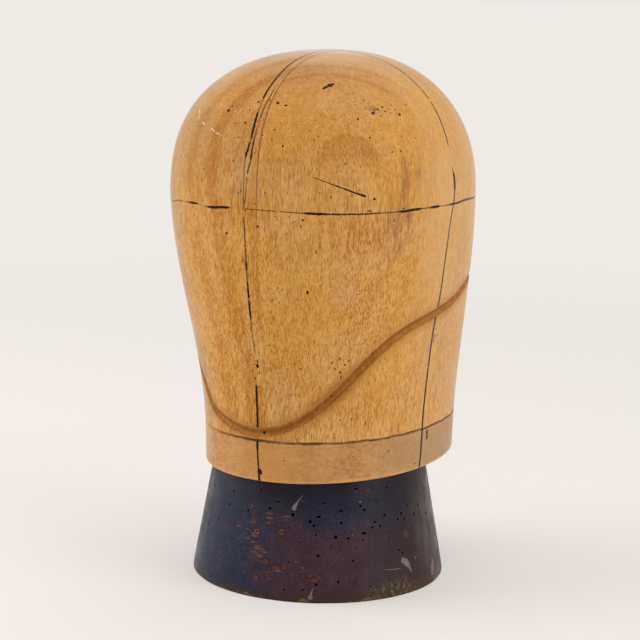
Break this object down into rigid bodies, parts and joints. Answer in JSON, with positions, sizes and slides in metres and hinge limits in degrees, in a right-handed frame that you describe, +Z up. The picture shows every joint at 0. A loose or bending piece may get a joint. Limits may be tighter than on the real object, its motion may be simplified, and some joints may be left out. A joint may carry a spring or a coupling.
{
  "type": "hat block",
  "caption": "Wooden milliner's hat block with a rope groove, on a turned conical stand. The block turns on a loose spindle and lifts off.",
  "frame": {"origin": "on the surface it stands on, under the axis of the stand and its spindle", "axes": "+Z up along the spindle; -Y towards the back of the block, which is tucked in over the nape; +Y towards its face; +X towards its right side"},
  "size_m": [0.1634, 0.193, 0.308],
  "materials": {
    "stand_paint": "old dark blue paint, worn and scuffed, over turned wood",
    "dowel_wood": "bare dowel",
    "plate_wood": "smooth close-grained wood, waxed by handling",
    "block_wood": "smooth honey-coloured wood, waxed by handling",
    "screw_steel": "dull slotted wood screws"
  },
  "bodies": {
    "stand": {"stand": "stand_paint"},
    "spindle": {"spindle": "dowel_wood"},
    "block": {"base_plate": "plate_wood", "block_wide_board": "block_wood", "block_narrow_board": "block_wood", "plate_screw_1": "screw_steel", "plate_screw_2": "screw_steel", "plate_screw_3": "screw_steel", "plate_screw_4": "screw_steel"}
  },
  "joints": [
    {"name": "block_turn", "type": "hinge", "parent": "stand", "child": "spindle", "pos_m": [0, 0, 0.0687], "axis": [0, 0, 1], "continuous": true},
    {"name": "block_lift", "type": "slide", "parent": "spindle", "child": "block", "axis": [0, 0, 1], "range_m": [0, 0.06]}
  ]
}
